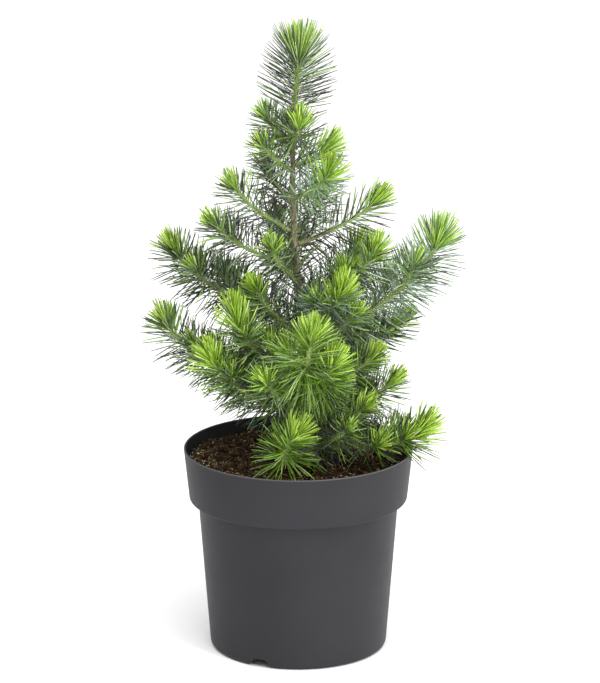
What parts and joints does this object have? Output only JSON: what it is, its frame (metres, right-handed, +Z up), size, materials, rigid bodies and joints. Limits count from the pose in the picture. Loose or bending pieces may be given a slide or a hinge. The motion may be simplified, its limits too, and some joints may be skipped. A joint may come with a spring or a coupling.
{
  "type": "potted stone pine",
  "caption": "Young stone pine with upturned shoots of short juvenile needles on a slim leaning trunk, in a round nursery pot filled with compost.",
  "frame": {"origin": "middle of the pot's underside, on the surface that it stands on", "axes": "+Z up along the pot's axis, +X to the right of the picture's view, +Y away from that view"},
  "size_m": [0.2667, 0.2132, 0.5313],
  "materials": {
    "pot_plastic": "satin moulded dark grey",
    "compost": "rough, damp and dark brown",
    "bark": "rough young bark",
    "needles": "soft sheen, bright at the tips"
  },
  "bodies": {
    "root": {"pot": "pot_plastic", "soil": "compost", "trunk": "bark", "bough_upper_right": "bark", "bough_mid_left": "bark", "bough_mid_back": "bark", "bough_mid_back_right": "bark", "bough_broad_front_right": "bark", "bough_broad_left": "bark", "bough_broad_front": "bark", "bough_broad_back_left": "bark", "bough_broad_right": "bark", "bough_broad_back": "bark", "bough_low_right": "bark", "bough_low_front": "bark", "bough_low_front_left": "bark", "bough_low_back_right": "bark", "bough_low_left": "bark", "bough_low_back_left": "bark", "bough_base_front": "bark", "bough_base_front_left": "bark", "bough_base_right": "bark", "bough_base_back": "bark", "bough_rim_right": "bark", "bough_rim_front": "bark", "foliage_leader": "needles", "foliage_top_left": "needles", "foliage_top_front": "needles", "foliage_top_front_left": "needles", "foliage_top_right": "needles", "foliage_top_back": "needles", "foliage_upper_front_right": "needles", "foliage_upper_back_left": "needles", "foliage_upper_left": "needles", "foliage_upper_back_right": "needles", "foliage_upper_right": "needles", "foliage_mid_left": "needles", "foliage_mid_back": "needles", "foliage_mid_front_left": "needles", "foliage_mid_back_right": "needles", "foliage_broad_front_right": "needles", "foliage_broad_left": "needles", "foliage_broad_front": "needles", "foliage_broad_back_left": "needles", "foliage_broad_right": "needles", "foliage_broad_back": "needles", "foliage_low_right": "needles", "foliage_low_front": "needles", "foliage_low_front_left": "needles", "foliage_low_back_right": "needles", "foliage_low_left": "needles", "foliage_low_back_left": "needles", "foliage_base_front": "needles", "foliage_base_front_left": "needles", "foliage_base_right": "needles", "foliage_base_front_right": "needles", "foliage_base_back": "needles", "foliage_rim_right": "needles", "foliage_rim_front": "needles"}
  },
  "joints": []
}
